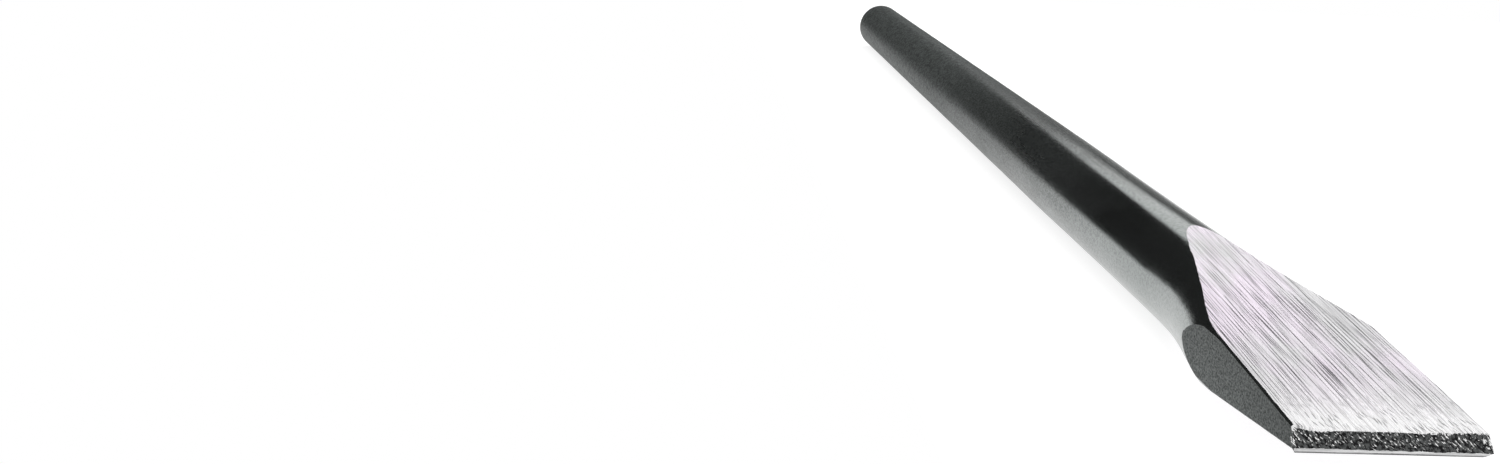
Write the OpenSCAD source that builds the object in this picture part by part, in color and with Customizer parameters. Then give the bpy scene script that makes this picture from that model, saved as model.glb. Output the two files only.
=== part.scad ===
// Cold chisel forged from one round steel bar.
// The bar lies along Y and rests on the plane Z = 0, with its cutting edge
// towards -Y, its striking face towards +Y and its blade level.
// The nodes are the four working zones of the forging, and they meet face to face.

/* [Bar] */
// Overall length, from the cutting edge to the striking face
overall_length = 400; // [250:10:600]
// Diameter of the round shank
shank_d = 18; // [16:0.5:22]

/* [Striking head] */
// Length of the zone that the hammer strikes
head_length = 25; // [15:1:40]
// Radial depth of the chamfer around the striking face
chamfer_depth = 1.5; // [0.5:0.1:3]
// Length of that chamfer along the bar
chamfer_length = 3; // [1:0.5:6]

/* [Blade] */
// Distance from the cutting edge to where the ground faces run out on the bar
grind_length = 65; // [60:0.5:90]
// Thickness of the wedge, measured at the cutting edge
tip_thickness = 2.6; // [2:0.1:5]
// Width across the two ground sides
side_width = 24.5; // [22.5:0.5:28]
// Greatest width of the forged flare, before its sides are ground flat
flare_width = 27; // [25:0.5:32]
// Distance from the cutting edge to where the flare is fully spread
flare_end = 28; // [15:1:35]
// Distance from the cutting edge to where the flare leaves the round bar
flare_start = 60; // [42:1:62]

/* [Cutting edge] */
// Width of the cutting edge
edge_width = 25; // [23:0.5:29]
// Length of the bevel along the blade
bevel_length = 1.0; // [0.5:0.1:4]
// Height of the narrow flat land under the bevel
land_height = 0.6; // [0.2:0.1:1.5]

/* [Hidden] */

shank_r = shank_d / 2;
// How firmly the flare ends in its shoulder: 1 is a sharp corner
shoulder = 1.25;
// Full round bar left between the end of the ground faces and the shank
neck_length = 5;
blade_end = grind_length + neck_length;
shank_length = overall_length - blade_end - head_length;
// The flare is lofted through this many rings, each with this many corners
flare_steps = 14;
ring_sides = 48;
// Makes a cutter reach clear of what it trims
clear = 5;
// Facets of the round solids
$fn = 96;

// Change from 0 to 1 that leaves the bar gently and ends in a firm shoulder
function spread(t) = 1 - pow(1 - t * t, shoulder);

// Half the width of the forging at a distance z from the cutting edge
function flare_half_width(z) =
    z >= flare_start ? shank_r :
    z <= flare_end ? flare_width / 2 :
    shank_r + (flare_width / 2 - shank_r) * spread((flare_start - z) / (flare_start - flare_end));

// Half the thickness between the two ground faces at a distance z from the cutting edge
function wedge_half(z) =
    tip_thickness / 2 + (shank_r - tip_thickness / 2) * z / grind_length;

// Turns a solid built along its own z axis, with y up, into the lying position
module lay_down() {
    translate([0, -overall_length / 2, shank_r]) rotate([90, 0, 180]) children();
}

// Extrudes an outline drawn as [distance from the edge, height] across a width
module across(width) {
    rotate([0, -90, 0]) linear_extrude(height = width, center = true) children();
}

// Oval forging that spreads sideways out of the round bar, its height unchanged
module forged_flare() {
    stations = concat(
        [0],
        [for (i = [0 : flare_steps]) flare_end + (flare_start - flare_end) * i / flare_steps],
        [blade_end]
    );
    last = len(stations) - 1;
    corners = [
        for (z = stations, k = [0 : ring_sides - 1])
            [flare_half_width(z) * cos(360 * k / ring_sides), shank_r * sin(360 * k / ring_sides), z]
    ];
    walls = [
        for (s = [0 : last - 1], k = [0 : ring_sides - 1])
            let (next = (k + 1) % ring_sides, low = s * ring_sides, high = low + ring_sides)
                [low + k, high + k, high + next, low + next]
    ];
    front_cap = [for (k = [0 : ring_sides - 1]) k];
    back_cap = [for (k = [ring_sides - 1 : -1 : 0]) last * ring_sides + k];
    polyhedron(points = corners, faces = concat([front_cap], walls, [back_cap]), convexity = 4);
}

// Flat end face of the wedge: the cutting bevel over its land
module cutting_edge() {
    color([0.36, 0.37, 0.37]) lay_down() intersection() {
        across(edge_width + clear) polygon([
            [0, -tip_thickness / 2],
            [0, -tip_thickness / 2 + land_height],
            [bevel_length, wedge_half(bevel_length)],
            [bevel_length, -wedge_half(bevel_length)]
        ]);
        // In plan the end spreads from the ground sides to the full edge width
        rotate([90, 0, 0]) linear_extrude(height = shank_d, center = true) polygon([
            [-edge_width / 2, 0],
            [edge_width / 2, 0],
            [side_width / 2, bevel_length],
            [-side_width / 2, bevel_length]
        ]);
    }
}

// Forged flare with two ground wedge faces and two ground sides
module blade() {
    color([0.80, 0.79, 0.81]) lay_down() intersection() {
        forged_flare();
        across(flare_width + clear) polygon([
            [bevel_length, -wedge_half(bevel_length)],
            [bevel_length, wedge_half(bevel_length)],
            [blade_end + clear, wedge_half(blade_end + clear)],
            [blade_end + clear, -wedge_half(blade_end + clear)]
        ]);
        translate([-side_width / 2, -shank_d, 0]) cube([side_width, 2 * shank_d, blade_end + clear]);
    }
}

// Plain round bar
module shank() {
    color([0.20, 0.22, 0.22]) lay_down()
        translate([0, 0, blade_end]) cylinder(r = shank_r, h = shank_length);
}

// Struck end of the bar, chamfered around a flat striking face
module striking_head() {
    color([0.23, 0.25, 0.25]) lay_down() translate([0, 0, overall_length - head_length]) {
        rotate_extrude() polygon([
            [0, 0],
            [shank_r, 0],
            [shank_r, head_length - chamfer_length],
            [shank_r - chamfer_depth, head_length],
            [0, head_length]
        ]);
    }
}

cutting_edge();
blade();
shank();
striking_head();
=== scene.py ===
"""Looks of the cold chisel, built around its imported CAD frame.

The bar lies along Y on the floor, with the cutting edge towards -Y. Every length is in metres.
The CAD nodes are the working zones of one forging, and each gets a detailed mesh in its place.
"""

import math

import bmesh
import bpy
from mathutils import Matrix, Vector, noise


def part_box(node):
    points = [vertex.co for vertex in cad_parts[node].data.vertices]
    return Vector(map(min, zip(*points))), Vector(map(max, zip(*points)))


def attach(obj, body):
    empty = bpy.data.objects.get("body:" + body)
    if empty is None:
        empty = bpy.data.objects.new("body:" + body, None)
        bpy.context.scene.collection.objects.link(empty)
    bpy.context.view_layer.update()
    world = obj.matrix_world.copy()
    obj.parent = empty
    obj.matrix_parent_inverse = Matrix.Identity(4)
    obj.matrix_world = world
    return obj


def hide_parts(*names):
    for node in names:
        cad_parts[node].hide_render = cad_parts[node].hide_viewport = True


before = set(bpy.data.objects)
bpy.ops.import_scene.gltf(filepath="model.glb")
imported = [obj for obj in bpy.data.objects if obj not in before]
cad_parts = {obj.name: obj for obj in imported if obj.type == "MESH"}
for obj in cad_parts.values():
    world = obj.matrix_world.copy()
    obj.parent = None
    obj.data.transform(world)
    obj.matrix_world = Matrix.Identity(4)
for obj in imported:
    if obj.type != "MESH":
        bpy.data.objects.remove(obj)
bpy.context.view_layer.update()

MM = 0.001

# ---------------------------------------------------------------- sizes

blade_low, blade_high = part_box("blade")
edge_low, edge_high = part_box("cutting_edge")
shank_low, shank_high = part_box("shank")
head_low, head_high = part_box("striking_head")

RADIUS = (shank_high.z - shank_low.z) / 2
AXIS_Z = (shank_high.z + shank_low.z) / 2
TIP_Y = edge_low.y
EDGE_HALF = (edge_high.x - edge_low.x) / 2
SIDE_HALF = (blade_high.x - blade_low.x) / 2
BEVEL_LENGTH = edge_high.y - edge_low.y
BLADE_END = blade_high.y - TIP_Y
BEVEL_TOP = (edge_high.z - edge_low.z) / 2

# These repeat the part's own values, apart from the flare, which is uneven here
GRIND_LENGTH = 65 * MM
FLARE_LEFT = 13.5 * MM
FLARE_RIGHT = 14 * MM
FLARE_END = 28 * MM
FLARE_START = 60 * MM
SHOULDER = 1.25
LAND_HEIGHT = 0.6 * MM
CHAMFER_DEPTH = 1.5 * MM
CHAMFER_LENGTH = 3 * MM

WEDGE_SLOPE = (RADIUS - BEVEL_TOP) / (GRIND_LENGTH - BEVEL_LENGTH)


# ---------------------------------------------------------------- helpers

def ripple(x, y, z, size, octaves=3):
    """Smooth noise from about -1 to 1 whose bumps are about size across."""
    return noise.fractal(Vector((x, y, z)) / size, 0.6, 2.0, octaves)


def between(a, b, t):
    return a + (b - a) * t


def eased(t):
    """Smooth change from 0 to 1."""
    return t * t * (3 - 2 * t)


def tube_mesh(name, rings, slot_of, sharp_columns=(), sharp_rings=()):
    """Closed mesh through equal rings of points, with a flat cap at each end.

    slot_of(ring, column) picks the material of a face. Columns and rings named sharp keep hard edges.
    """
    bm = bmesh.new()
    rows = [[bm.verts.new(p) for p in ring] for ring in rings]
    count = len(rows[0])
    for r in range(len(rows) - 1):
        for c in range(count):
            n = (c + 1) % count
            face = bm.faces.new((rows[r][c], rows[r][n], rows[r + 1][n], rows[r + 1][c]))
            face.material_index = slot_of(r, c)
            face.smooth = True
    bm.faces.new(list(reversed(rows[0]))).material_index = slot_of(0, 0)
    bm.faces.new(rows[-1]).material_index = slot_of(len(rows) - 2, 0)
    hard = set()
    for c in sharp_columns:
        hard.update((rows[r][c], rows[r + 1][c]) for r in range(len(rows) - 1))
    for r in (0, len(rows) - 1, *sharp_rings):
        hard.update((rows[r][c], rows[r][(c + 1) % count]) for c in range(count))
    for a, b in hard:
        bm.edges.get((a, b)).smooth = False
    bmesh.ops.recalc_face_normals(bm, faces=bm.faces)
    mesh = bpy.data.meshes.new(name)
    bm.to_mesh(mesh)
    bm.free()
    return mesh


def add_piece(name, mesh, materials, node):
    """Shows a mesh in place of a CAD node."""
    for material in materials:
        mesh.materials.append(material)
    piece = bpy.data.objects.new(name, mesh)
    bpy.context.collection.objects.link(piece)
    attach(piece, "root")
    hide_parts(node)
    return piece


# Blender's wave texture repeats about this many times in one unit
BANDS_PER_UNIT = 3.18


class Shader:
    """A node material, built one node at a time."""

    def __init__(self, name):
        self.material = bpy.data.materials.new(name)
        self.material.use_nodes = True
        self.tree = self.material.node_tree
        self.surface = self.tree.nodes["Principled BSDF"]
        self.place = self.add("TexCoord").outputs["Object"]

    def add(self, kind, inputs=None, **settings):
        node = self.tree.nodes.new("ShaderNode" + kind)
        for key, value in settings.items():
            setattr(node, key, value)
        for key, value in (inputs or {}).items():
            self.feed(node.inputs[key], value)
        return node

    def feed(self, socket, value):
        if isinstance(value, bpy.types.NodeSocket):
            self.tree.links.new(value, socket)
        else:
            socket.default_value = value

    def stretched(self, sizes, turn=0.0, tilt=0.0):
        """Coordinates with their own unit along X, Y and Z, turned about Z or tilted about Y.

        A size of None leaves the pattern constant along that axis.
        """
        turned = self.add("Mapping", {"Vector": self.place, "Rotation": (0, tilt, turn)})
        scale = tuple(0.0 if size is None else 1 / size for size in sizes)
        return self.add("Mapping", {"Vector": turned.outputs[0], "Scale": scale}).outputs[0]

    def noise(self, sizes, detail=4.0, tilt=0.0, roughness=0.55):
        vector = self.stretched(sizes, tilt=tilt)
        made = self.add("TexNoise", {"Vector": vector, "Scale": 1.0, "Detail": detail,
                                     "Roughness": roughness})
        return made.outputs["Fac"]

    def span(self, value, low, high, to_low=0.0, to_high=1.0):
        """Maps low..high to to_low..to_high, and holds the ends."""
        made = self.add("MapRange", {"Value": value, "From Min": low, "From Max": high,
                                     "To Min": to_low, "To Max": to_high})
        return made.outputs["Result"]

    def needles(self, sizes, radius, turn=0.0):
        """Thin scratches with tapered ends, one to each cell of the given size, of uneven depth."""
        cells = self.add("TexVoronoi", {"Vector": self.stretched(sizes, turn), "Scale": 1.0,
                                        "Randomness": 0.8}, voronoi_dimensions="2D")
        depth = self.span(cells.outputs["Color"], 0.2, 0.8, 0.4, 1.0)
        profile = self.span(cells.outputs["Distance"], radius * 0.6, radius, 1.0, 0.0)
        return self.math("MULTIPLY", profile, depth)

    def rake(self, spacing, length, turn=0.0):
        """Evenly spread scratches about one spacing apart, each broken into pieces of about that length."""
        vector = self.stretched((spacing * BANDS_PER_UNIT, length * 6, None), turn)
        bands = self.add("TexWave", {"Vector": vector, "Scale": 1.0, "Distortion": 3.5, "Detail": 2.0,
                                     "Detail Scale": 2.0}, bands_direction="X")
        pieces = self.noise((spacing * 1.3, length, None), detail=1)
        crest = self.span(bands.outputs["Fac"], 0.88, 0.98)
        return self.math("MULTIPLY", crest, self.span(pieces, 0.44, 0.58))

    def axis(self, name):
        """Position along X, Y or Z."""
        return self.add("SeparateXYZ", {"Vector": self.place}).outputs[name]

    def mix(self, factor, a, b):
        made = self.add("Mix", data_type="RGBA")
        for socket, value in ((made.inputs[0], factor), (made.inputs[6], a), (made.inputs[7], b)):
            self.feed(socket, value)
        return made.outputs[2]

    def math(self, operation, a, b=0.0):
        made = self.add("Math", operation=operation)
        self.feed(made.inputs[0], a)
        self.feed(made.inputs[1], b)
        return made.outputs[0]

    def bump(self, height, depth, strength, under=None):
        inputs = {"Height": height, "Distance": depth, "Strength": strength}
        if under is not None:
            inputs["Normal"] = under
        return self.add("Bump", inputs).outputs[0]

    def finish(self, **values):
        for key, value in values.items():
            self.feed(self.surface.inputs[key.replace("_", " ")], value)
        return self.material


# ---------------------------------------------------------------- materials

def forged_skin(s):
    """Colour, metallic, roughness and grain of the forged skin, which turns to dull oxide along the bar."""
    mottle = s.noise((7 * MM, 18 * MM, 7 * MM), detail=5)
    grain = s.noise((0.45 * MM, 0.55 * MM, 0.45 * MM), detail=3, roughness=0.75)
    scale = s.noise((1.3 * MM, 1.6 * MM, 1.3 * MM), detail=3, roughness=0.7)
    streak = s.noise((0.8 * MM, 25 * MM, 0.8 * MM), detail=4)
    y = s.axis("Y")
    along = s.math("ADD", y, s.span(mottle, 0.25, 0.75, -12 * MM, 12 * MM))
    dull = s.span(along, -135 * MM, -60 * MM)
    oxide = s.span(along, -120 * MM, 40 * MM)
    scaly = s.span(along, -60 * MM, 60 * MM)
    worn = s.mix(scaly, (0.066, 0.073, 0.071, 1), (0.104, 0.114, 0.111, 1))
    worn = s.mix(dull, (0.24, 0.26, 0.255, 1), worn)
    fleck = s.mix(dull, (0.29, 0.31, 0.30, 1), (0.190, 0.204, 0.199, 1))
    colour = s.mix(s.span(grain, 0.40, 0.68), worn, fleck)
    pitted = s.math("MULTIPLY", s.span(dull, 0, 1, 0.25, 1.0), s.span(grain, 0.52, 0.36, 0, 0.7))
    colour = s.mix(pitted, colour, (0.012, 0.014, 0.013, 1))
    thick_scale = s.math("MULTIPLY", scaly, s.span(scale, 0.55, 0.35, 0, 0.75))
    colour = s.mix(thick_scale, colour, (0.020, 0.023, 0.022, 1))
    metallic = s.span(oxide, 0, 1, 0.95, 0.50)
    rough = s.math("ADD", s.span(oxide, 0, 1, 0.15, 0.42), s.span(streak, 0.3, 0.7, -0.02, 0.05))
    return colour, metallic, rough, grain


def forged_steel():
    """Forged skin: worn to dark satin metal behind the blade, under dull oxide towards the struck end."""
    s = Shader("forged_steel")
    colour, metallic, rough, grain = forged_skin(s)
    normal = s.bump(grain, 0.02 * MM, 0.5)
    return s.finish(Base_Color=colour, Metallic=metallic, Roughness=rough, Normal=normal,
                    Specular_IOR_Level=0.0)


def struck_steel():
    """The same skin beaten down to bare metal in patches on the struck face and round its chamfer."""
    s = Shader("struck_steel")
    skin, metallic, rough, grain = forged_skin(s)
    beaten = s.noise((2.2 * MM, 2.2 * MM, 2.2 * MM), detail=5, roughness=0.6)
    y = s.axis("Y")
    reach = s.span(y, head_high.y - 5.0 * MM, head_high.y - 0.5 * MM, -0.40, 0.10)
    bare = s.span(s.math("ADD", beaten, reach), 0.40, 0.72)
    metal = s.mix(s.span(grain, 0.35, 0.65), (0.15, 0.155, 0.154, 1), (0.26, 0.265, 0.264, 1))
    colour = s.mix(bare, skin, metal)
    metallic = s.math("MAXIMUM", metallic, s.span(bare, 0, 1, 0.0, 0.85))
    rough = s.math("MINIMUM", rough, s.span(bare, 0, 1, 0.60, 0.33))
    normal = s.bump(beaten, 0.12 * MM, 0.5, under=s.bump(grain, 0.02 * MM, 0.5))
    return s.finish(Base_Color=colour, Metallic=metallic, Roughness=rough, Normal=normal,
                    Specular_IOR_Level=0.0)


def ground_steel():
    """Bright coarse grinding: long scratches down the blade, fewer and shorter ones at the edge, where the
    colour is whitened as a painted highlight.
    """
    s = Shader("ground_steel")
    near_edge = s.span(s.axis("Y"), TIP_Y + 14 * MM, TIP_Y + 3 * MM)
    rightward = s.span(s.axis("X"), -2 * MM, 10 * MM, 0, 0.13)
    blotch = s.noise((9 * MM, 22 * MM, None), detail=4, roughness=0.65)
    veins = s.noise((0.45 * MM, 14 * MM, None), detail=2)
    long_cut = s.rake(0.71 * MM, 20 * MM)
    for spacing, length, turn in ((0.47 * MM, 9 * MM, 0.2), (0.58 * MM, 14 * MM, -0.2)):
        long_cut = s.math("MAXIMUM", long_cut, s.rake(spacing, length, turn=math.radians(turn)))
    long_cut = s.math("MULTIPLY", long_cut, s.span(near_edge, 0, 1, 1, 0.3))
    toward_bar = s.span(s.axis("Y"), TIP_Y + 36 * MM, TIP_Y + 58 * MM, 1, 0.5)
    long_cut = s.math("MULTIPLY", long_cut, toward_bar)
    short_cut = s.math("MAXIMUM", s.needles((0.50 * MM, 5 * MM, None), 0.19, turn=math.radians(3)),
                       s.needles((0.60 * MM, 4 * MM, None), 0.17, turn=math.radians(-14)))
    short_cut = s.math("MULTIPLY", short_cut, s.span(near_edge, 0, 1, 0, 0.75))
    line = s.math("MAXIMUM", long_cut, short_cut)
    greyness = s.span(s.math("ADD", blotch, rightward), 0.42, 0.66)
    pale = s.mix(greyness, (0.82, 0.735, 0.83, 1), (0.69, 0.685, 0.695, 1))
    # Towards the edge the face turns near white: a painted highlight over the finer grind
    bright = s.mix(near_edge, pale, (0.93, 0.925, 0.93, 1))
    veined = s.mix(s.span(veins, 0.48, 0.66, 0, 0.15), bright, (0.45, 0.44, 0.46, 1))
    colour = s.mix(line, veined, (0.04, 0.04, 0.045, 1))
    rough = s.span(veins, 0.3, 0.7, 0.24, 0.36)
    normal = s.bump(line, -0.04 * MM, 0.4, under=s.bump(veins, 0.01 * MM, 0.4))
    return s.finish(Base_Color=colour, Metallic=0.55, Roughness=rough, Normal=normal)


def side_steel():
    """Matte ground sides, finely grained."""
    s = Shader("side_steel")
    fine = s.noise((None, 3 * MM, 0.14 * MM), detail=4)
    grain = s.noise((0.3 * MM, 0.36 * MM, 0.3 * MM), detail=3, roughness=0.7)
    colour = s.mix(s.span(grain, 0.36, 0.64), (0.030, 0.034, 0.033, 1), (0.190, 0.204, 0.200, 1))
    y = s.axis("Y")
    shade = s.span(y, TIP_Y + 16 * MM, TIP_Y, 0, 0.35)
    colour = s.mix(shade, colour, (0.03, 0.034, 0.033, 1))
    rough = s.span(fine, 0.3, 0.7, 0.44, 0.58)
    normal = s.bump(grain, 0.03 * MM, 0.7, under=s.bump(fine, 0.012 * MM, 0.6))
    return s.finish(Base_Color=colour, Metallic=1.0, Roughness=rough, Normal=normal)


def bevel_steel():
    """Coarse dark stipple with bright specks, thickest at the corners and along the land; the specks are
    painted white as glints of torn metal.
    """
    s = Shader("bevel_steel")
    stipple = s.noise((0.42 * MM, None, 0.65 * MM), detail=3, tilt=math.radians(50), roughness=0.6)
    speck = s.noise((0.22 * MM, None, 0.62 * MM), detail=2, tilt=math.radians(48), roughness=0.6)
    torn_glint = s.noise((0.16 * MM, None, 1.3 * MM), detail=1, tilt=math.radians(62))
    off_centre = s.math("ABSOLUTE", s.axis("X"))
    corner = s.span(off_centre, EDGE_HALF - 1.3 * MM, EDGE_HALF - 0.2 * MM, 0, 0.09)
    low = s.span(s.axis("Z"), AXIS_Z - 0.35 * MM, AXIS_Z - 0.60 * MM, 0, -0.10)
    raised = s.math("ADD", s.math("ADD", speck, corner), low)
    bright = s.math("MAXIMUM", s.span(raised, 0.58, 0.62), s.span(torn_glint, 0.67, 0.73, 0, 0.8))
    dark = s.mix(s.span(stipple, 0.44, 0.57), (0.002, 0.002, 0.003, 1), (0.11, 0.115, 0.115, 1))
    # Pure white specks: painted glints where torn metal catches the light
    colour = s.mix(bright, dark, (1.0, 1.0, 1.0, 1))
    metallic = s.span(bright, 0, 1, 0.5, 0.1)
    rough = s.span(stipple, 0.3, 0.7, 0.60, 0.40)
    normal = s.bump(s.math("ADD", stipple, bright), 0.10 * MM, 0.8)
    return s.finish(Base_Color=colour, Metallic=metallic, Roughness=rough, Normal=normal)


def land_steel():
    """Pale satin land with fine lines along the edge."""
    s = Shader("land_steel")
    lines = s.noise((6 * MM, 0.10 * MM, 0.10 * MM), detail=3)
    z = s.axis("Z")
    foot = s.span(s.math("ADD", z, s.span(lines, 0.3, 0.7, -0.08 * MM, 0.08 * MM)),
                  edge_low.z + 0.34 * MM, edge_low.z + 0.22 * MM)
    colour = s.mix(s.span(lines, 0.42, 0.62), (0.78, 0.78, 0.785, 1), (0.50, 0.50, 0.505, 1))
    colour = s.mix(foot, colour, (0.15, 0.15, 0.153, 1))
    normal = s.bump(lines, 0.02 * MM, 0.5)
    return s.finish(Base_Color=colour, Metallic=0.35, Roughness=0.35, Normal=normal)


def floor_paint():
    """Plain pale studio floor with the faintest unevenness."""
    s = Shader("floor_paint")
    cloud = s.noise((0.5, 0.5, 0.5), detail=2)
    colour = s.mix(cloud, (0.30, 0.30, 0.30, 1), (0.32, 0.32, 0.32, 1))
    return s.finish(Base_Color=colour, Roughness=0.9, Emission_Color=(1, 1, 1, 1), Emission_Strength=0.82)


FORGED = forged_steel()
STRUCK = struck_steel()
GROUND = ground_steel()
SIDES = side_steel()
BEVEL = bevel_steel()
LAND = land_steel()


# ---------------------------------------------------------------- blade

TOP_CELLS = 48
STRIP_CELLS = 26
SIDE_CELLS = 16
STATION_STEP = 0.6 * MM
ARRIS = 0.24 * MM
# How much the bar is drawn down behind the blade, from where to where, and over what lengths
WAIST = 0.25 * MM
WAIST_START = 30 * MM
WAIST_END = 135 * MM
WAIST_FADE_IN = 20 * MM
WAIST_FADE_OUT = 60 * MM
# Raggedness of the line between the ground face and the forged skin: fine and broad
RAG_FINE = 0.05 * MM
RAG_BROAD = 0.07 * MM
# Half the least span of a flat where it has run out on the round skin
LEAST_TOP = 0.5 * MM
LEAST_SIDE = 0.6 * MM
# Length of blade over which the worn top line of the bevel pushes the sections back
BROW_REACH = 14 * MM
# How much lower that line lies than the plane of the ground face
BROW_SAG = 0.10 * MM


def drawn_radius(d):
    """Radius of the bar at a distance d from the cutting edge, drawn down a little behind the blade."""
    fade_in = max(0.0, (d - WAIST_START) / WAIST_FADE_IN)
    fade_out = max(0.0, (WAIST_END - d) / WAIST_FADE_OUT)
    drawn = min(1.0, fade_in, fade_out)
    return RADIUS - WAIST * eased(drawn)


def flare_half(d, flare):
    """Half the oval forging's width at a distance d from the cutting edge, where it ends at flare."""
    t = min(max((FLARE_START - d) / (FLARE_START - FLARE_END), 0.0), 1.0)
    return between(drawn_radius(d), flare, 1 - (1 - t * t) ** SHOULDER)


def wedge_half(d):
    """Half the thickness between the ground faces at a distance d from the cutting edge."""
    return BEVEL_TOP + WEDGE_SLOPE * (d - BEVEL_LENGTH)


def oval_reach(width, height, along):
    """How far an oval reaches to one side at a distance along its other axis."""
    return width * math.sqrt(max(0.0, 1 - (along / height) ** 2))


def blade_quarter(d, flare):
    """Points of one quarter section, from the middle of the top to the middle of the side."""
    width, half, height = flare_half(d, flare), wedge_half(d), drawn_radius(d)
    rag = RAG_FINE * ripple(d, flare, 0.0, 1.1 * MM)
    rag += RAG_BROAD * ripple(d, 2 * flare, 0.0, 4 * MM)
    top_x = min(oval_reach(width, height, half), SIDE_HALF - ARRIS - 0.05 * MM) + rag
    top_x = min(max(top_x, LEAST_TOP), SIDE_HALF - 0.03 * MM)
    top_z = min(half, oval_reach(height, width, top_x))
    side_z = min(oval_reach(height, width, SIDE_HALF) if width > SIDE_HALF else 0.0, half - ARRIS)
    side_z = max(side_z, LEAST_SIDE)
    side_x = min(SIDE_HALF, oval_reach(width, height, side_z))
    points = []
    for i in range(TOP_CELLS // 2):
        x = top_x * i / (TOP_CELLS // 2)
        points.append((x, min(half, oval_reach(height, width, x))))
    first = math.atan2(top_z / height, top_x / width)
    last = math.atan2(side_z / height, side_x / width)
    for i in range(STRIP_CELLS):
        t = i / STRIP_CELLS
        angle = between(first, last, t)
        # The strip follows the oval's bulge over the straight line between its two corners
        bulge_x = width * (math.cos(angle) - between(math.cos(first), math.cos(last), t))
        bulge_z = height * (math.sin(angle) - between(math.sin(first), math.sin(last), t))
        points.append((between(top_x, side_x, t) + bulge_x, between(top_z, side_z, t) + bulge_z))
    for i in range(SIDE_CELLS // 2 + 1):
        z = side_z * (1 - i / (SIDE_CELLS // 2))
        points.append((min(SIDE_HALF, oval_reach(width, height, z)), z))
    return points


def brow_shift(x):
    """How far the top line of the bevel lies behind its nominal place: worn back at both corners."""
    u = x / EDGE_HALF
    left = max(0.0, (-u - 0.5) / 0.5) ** 2
    right = max(0.0, u)
    return 1.4 * MM * left + 0.46 * MM * right - 0.15 * MM


def blade_ring(d):
    """Whole section, turned from the middle of the top round by +X."""
    right, left = blade_quarter(d, FLARE_RIGHT), blade_quarter(d, FLARE_LEFT)
    outline = right + [(x, -z) for x, z in reversed(right[:-1])]
    outline += [(-x, -z) for x, z in left[1:]] + [(-x, z) for x, z in reversed(left[1:-1])]
    ring = [Vector((x, TIP_Y + d, AXIS_Z + z)) for x, z in outline]
    near = max(0.0, 1 - (d - BEVEL_LENGTH) / BROW_REACH)
    if near:
        reach = eased(near)
        for p in ring:
            rise = min(1.0, max(0.0, (p.z - AXIS_Z) / BEVEL_TOP))
            shift = brow_shift(p.x) * rise * reach
            p.y += shift
            p.z += shift * WEDGE_SLOPE - BROW_SAG * rise * reach
    return ring


def build_blade():
    count = round((BLADE_END - BEVEL_LENGTH) / STATION_STEP)
    stations = [between(BEVEL_LENGTH, BLADE_END, i / count) for i in range(count + 1)]
    rings = [blade_ring(d) for d in stations]
    quarter = TOP_CELLS // 2 + STRIP_CELLS + SIDE_CELLS // 2
    top_end = TOP_CELLS // 2
    side_start = top_end + STRIP_CELLS

    def zone(ring, column):
        """0 forged skin, 1 ground face, 2 ground side."""
        step = column % (2 * quarter)
        folded = min(step, 2 * quarter - 1 - step)
        d = stations[ring]
        if folded < top_end:
            return 1 if wedge_half(d) < drawn_radius(d) - 0.01 * MM else 0
        flare = FLARE_RIGHT if column < 2 * quarter else FLARE_LEFT
        if folded >= side_start and flare_half(d, flare) > SIDE_HALF:
            return 2
        return 0

    corners = []
    for base in (0, 2 * quarter):
        corners += [base + top_end, base + side_start]
        corners += [base + 2 * quarter - side_start, base + 2 * quarter - top_end]
    mesh = tube_mesh("blade", rings, zone, sharp_columns=corners)
    return add_piece("ground_blade", mesh, (FORGED, GROUND, SIDES), "blade")


# ---------------------------------------------------------------- cutting edge

EDGE_CELLS = 250
BEVEL_CELLS = 20
LAND_CELLS = 5
UNDER_CELLS = 6
BACK_CELLS = 12
# Pits of the bevel: how deep they go, and how far they drag the surface down
PIT_SIZE = 0.35 * MM
PIT_DEPTH = 0.09 * MM
PIT_DROP = 0.05 * MM
TOP_LINE_DROP = 0.02 * MM
LAND_DENT = 0.04 * MM
BRINK_RAG = 0.09 * MM
# The chipped corner starts at this part of the half width, at the right
CHIP_START = 0.90


def edge_section(x):
    """Section of the edge at x, as (y, z, part) points round from the bevel's top line."""
    shift = brow_shift(x)
    u = x / EDGE_HALF
    chip = max(0.0, (u - CHIP_START) / (1 - CHIP_START)) ** 1.5
    top = Vector((BEVEL_LENGTH + shift, BEVEL_TOP + shift * WEDGE_SLOPE - BROW_SAG))
    toe = Vector((0.0, -BEVEL_TOP + WEDGE_SLOPE * BEVEL_LENGTH))
    heel = Vector((BEVEL_LENGTH, -BEVEL_TOP))
    brink = toe + Vector((0.0, LAND_HEIGHT - 0.07 * MM * (1 + u)))
    worn_toe = toe + Vector((0.10 * MM, 0.42 * MM)) * chip
    section = [(*top.lerp(brink, i / BEVEL_CELLS), "bevel") for i in range(BEVEL_CELLS)]
    section += [(*brink.lerp(worn_toe, i / LAND_CELLS), "land") for i in range(LAND_CELLS)]
    section += [(*worn_toe.lerp(heel, i / UNDER_CELLS), "under") for i in range(UNDER_CELLS)]
    section += [(*heel.lerp(top, i / BACK_CELLS), "back") for i in range(BACK_CELLS)]
    return section


def worn_point(side, k, y, z, part):
    """One point of the edge: tapered in plan, then pitted, dented or ragged as its part needs."""
    half = between(EDGE_HALF, SIDE_HALF, min(1.0, y / BEVEL_LENGTH))
    x = side * (half - ARRIS * min(1.0, z / BEVEL_TOP) ** 4)
    if part == "bevel":
        pit = max(0.0, 0.5 + 0.5 * ripple(x, y, z, PIT_SIZE, 4)) * min(1.0, k / 2)
        y += PIT_DEPTH * pit
        z -= PIT_DROP * pit
        if k == 0:
            z -= TOP_LINE_DROP
    elif part == "land":
        y += LAND_DENT * max(0.0, 0.5 + 0.5 * ripple(x, 0.01, z, 0.8 * MM))
        if k == BEVEL_CELLS:
            z += BRINK_RAG * ripple(x, 0.02, 0.0, 0.9 * MM)
    return Vector((x, TIP_Y + y, AXIS_Z + z))


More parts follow.
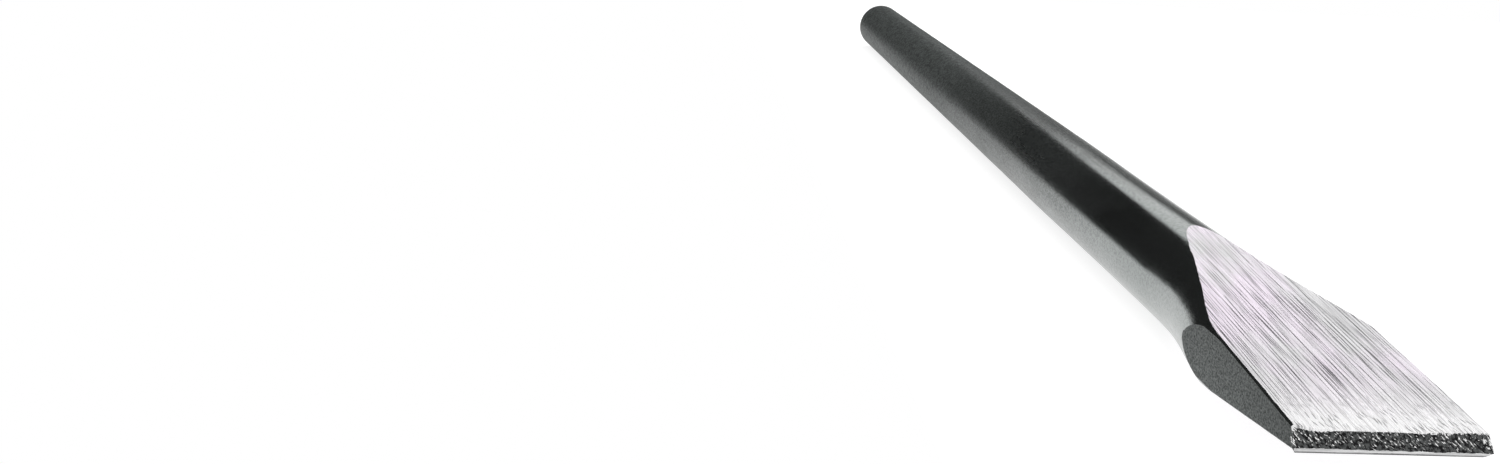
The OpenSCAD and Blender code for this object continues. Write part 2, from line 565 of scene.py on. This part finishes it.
def build_edge():
    """Stippled bevel over a narrow land, ragged where they meet."""
    rings = []
    for i in range(EDGE_CELLS + 1):
        side = 2 * i / EDGE_CELLS - 1
        section = edge_section(side * EDGE_HALF)
        rings.append([worn_point(side, k, y, z, part) for k, (y, z, part) in enumerate(section)])
    parts = [part for _, _, part in edge_section(0.0)]

    def zone(ring, column):
        return 0 if parts[column] in ("bevel", "back") else 1

    toe = BEVEL_CELLS + LAND_CELLS
    corners = (0, BEVEL_CELLS, toe, toe + UNDER_CELLS)
    mesh = tube_mesh("edge", rings, zone, sharp_columns=corners)
    return add_piece("bevelled_edge", mesh, (BEVEL, LAND), "cutting_edge")


# ---------------------------------------------------------------- shank and head

ROUND_CELLS = 144
SHANK_STEP = 1.5 * MM
SHANK_DENT = 0.05 * MM
FACE_DENT = 0.10 * MM


def round_ring(y, radius, dent=0.0):
    """Circle around the bar's axis. dent is the depth of its shallow unevenness, always inwards."""
    ring = []
    for k in range(ROUND_CELLS):
        angle = 2 * math.pi * k / ROUND_CELLS
        x, z = math.sin(angle), math.cos(angle)
        worn = dent * (0.5 + 0.5 * ripple(x * RADIUS, y * 0.35, z * RADIUS, 7 * MM)) if dent else 0.0
        reach = radius - worn
        ring.append(Vector((x * reach, y, AXIS_Z + z * reach)))
    return ring


def build_shank():
    length = shank_high.y - shank_low.y
    count = round(length / SHANK_STEP)
    rings = []
    for i in range(count + 1):
        t = i / count
        fade = min(1.0, 12 * t, 12 * (1 - t))
        y = between(shank_low.y, shank_high.y, t)
        rings.append(round_ring(y, drawn_radius(y - TIP_Y), SHANK_DENT * fade))
    mesh = tube_mesh("shank", rings, lambda ring, column: 0)
    return add_piece("round_shank", mesh, (FORGED,), "shank")


def build_head():
    """Struck end: chamfer with softened corners round a slightly dented face."""
    start, end = head_low.y, head_high.y
    corner = end - CHAMFER_LENGTH
    outline = [(between(start, corner - 0.6 * MM, i / 16), RADIUS) for i in range(17)]
    outline += [(corner - 0.3 * MM, RADIUS - 0.01 * MM), (corner, RADIUS - 0.05 * MM)]
    outline += [(corner + 0.4 * MM, RADIUS - 0.21 * MM)]
    face_radius = RADIUS - CHAMFER_DEPTH
    outline += [(between(corner + 0.6 * MM, end - 0.6 * MM, i / 6),
                 between(RADIUS - 0.30 * MM, face_radius + 0.28 * MM, i / 6)) for i in range(7)]
    outline += [(end - 0.28 * MM, face_radius + 0.08 * MM), (end - 0.08 * MM, face_radius - 0.18 * MM)]
    outline += [(end, face_radius - 0.5 * MM)]
    outline += [(end, face_radius * (1 - i / 14)) for i in range(2, 14)]
    rings = [round_ring(y, radius) for y, radius in outline]
    flat = face_radius - 0.6 * MM
    for ring in rings:
        for p in ring:
            away = math.hypot(p.x, p.z - AXIS_Z)
            if p.y > end - 0.01 * MM and away < flat:
                beaten = 0.5 + 0.5 * ripple(p.x, 0.4, p.z, 3 * MM)
                p.y -= FACE_DENT * beaten * min(1.0, (flat - away) / MM)
    mesh = tube_mesh("head", rings, lambda ring, column: 0)
    return add_piece("struck_head", mesh, (STRUCK,), "striking_head")


build_blade()
build_edge()
build_shank()
build_head()


# ---------------------------------------------------------------- studio

FLOOR_LEFT, FLOOR_RIGHT = -0.052, 0.5
FLOOR_FRONT, FLOOR_BACK = -0.5, 0.45


def build_floor():
    """White sheet under the bar. The white world carries it on in every direction.

    It stops close at the left, so that the bar's left side mirrors a dark band beyond it.
    """
    bm = bmesh.new()
    bmesh.ops.create_grid(bm, x_segments=8, y_segments=8, size=0.5)
    for v in bm.verts:
        x = between(FLOOR_LEFT, FLOOR_RIGHT, v.co.x + 0.5)
        v.co = Vector((x, between(FLOOR_FRONT, FLOOR_BACK, v.co.y + 0.5), 0.0))
    mesh = bpy.data.meshes.new("floor")
    bm.to_mesh(mesh)
    bm.free()
    mesh.materials.append(floor_paint())
    floor = bpy.data.objects.new("floor", mesh)
    bpy.context.collection.objects.link(floor)


def add_softbox(name, place, aim, width, height, power, mirrored=True):
    """Soft light. One that is not mirrored lights matte surfaces, but makes no highlight on metal."""
    light = bpy.data.lights.new(name, "AREA")
    light.shape = "RECTANGLE"
    light.size, light.size_y = width, height
    light.energy = power
    lamp = bpy.data.objects.new(name, light)
    lamp.location = place
    lamp.rotation_euler = (Vector(aim) - Vector(place)).to_track_quat("-Z", "Y").to_euler()
    lamp.visible_camera = False
    lamp.visible_glossy = mirrored
    bpy.context.collection.objects.link(lamp)


def build_world():
    world = bpy.data.worlds.new("studio")
    world.use_nodes = True
    background = world.node_tree.nodes["Background"]
    background.inputs["Color"].default_value = (1, 1, 1, 1)
    background.inputs["Strength"].default_value = 1.0
    world.cycles_visibility.glossy = False
    world.cycles_visibility.diffuse = False
    bpy.context.scene.world = world


LENS = 28.6
CAMERA_PLACE = (-87.15 * MM, -324.8 * MM, 70.44 * MM)
CAMERA_YAW, CAMERA_PITCH, CAMERA_ROLL = 3.84, 16.77, 3.16


def build_camera():
    """Low wide view from in front of the edge, with the bar running away to the upper left."""
    data = bpy.data.cameras.new("camera")
    data.sensor_width = 36
    data.lens = LENS
    data.clip_start = 0.01
    camera = bpy.data.objects.new("camera", data)
    yaw, pitch, roll = (math.radians(a) for a in (CAMERA_YAW, CAMERA_PITCH, CAMERA_ROLL))
    turn = Matrix.Rotation(-yaw, 4, "Z") @ Matrix.Rotation(math.pi / 2 - pitch, 4, "X")
    turn = turn @ Matrix.Rotation(roll, 4, "Z")
    camera.matrix_world = Matrix.Translation(CAMERA_PLACE) @ turn
    bpy.context.collection.objects.link(camera)
    bpy.context.scene.camera = camera


build_floor()
build_world()
add_softbox("back_right_softbox", (0.41, 0.65, 0.50), (0, -0.13, 0), 0.78, 0.44, 1.45)
add_softbox("low_right_strip", (0.60, 0.92, 0.105), (0, -0.13, 0.1), 0.9, 0.19, 0.15)
add_softbox("left_softbox", (-1.2, 0.0, 0.8), (0, 0, 0), 1.3, 0.8, 4.0)
add_softbox("right_softbox", (1.2, -0.1, 0.8), (0, 0, 0), 1.3, 0.8, 4.0)
add_softbox("front_left_softbox", (-0.9, -1.2, 0.8), (0, 0, 0), 1.1, 0.7, 3.2)
add_softbox("front_right_softbox", (0.9, -1.3, 0.8), (0, 0, 0), 1.1, 0.7, 3.2)
add_softbox("overhead_softbox", (-0.2, 0.0, 1.5), (0, 0, 0), 2.0, 2.0, 25.0, mirrored=False)
add_softbox("top_glow", (-0.1, -0.3, 1.4), (0, 0, 0), 1.2, 1.2, 3.0)
# The floor sheet hides this one from the bar in every view but those from below
add_softbox("under_softbox", (0.1, -0.2, -1.0), (0, 0, 0), 2.6, 2.6, 30.0)
build_camera()
bpy.context.scene.view_settings.view_transform = "Standard"
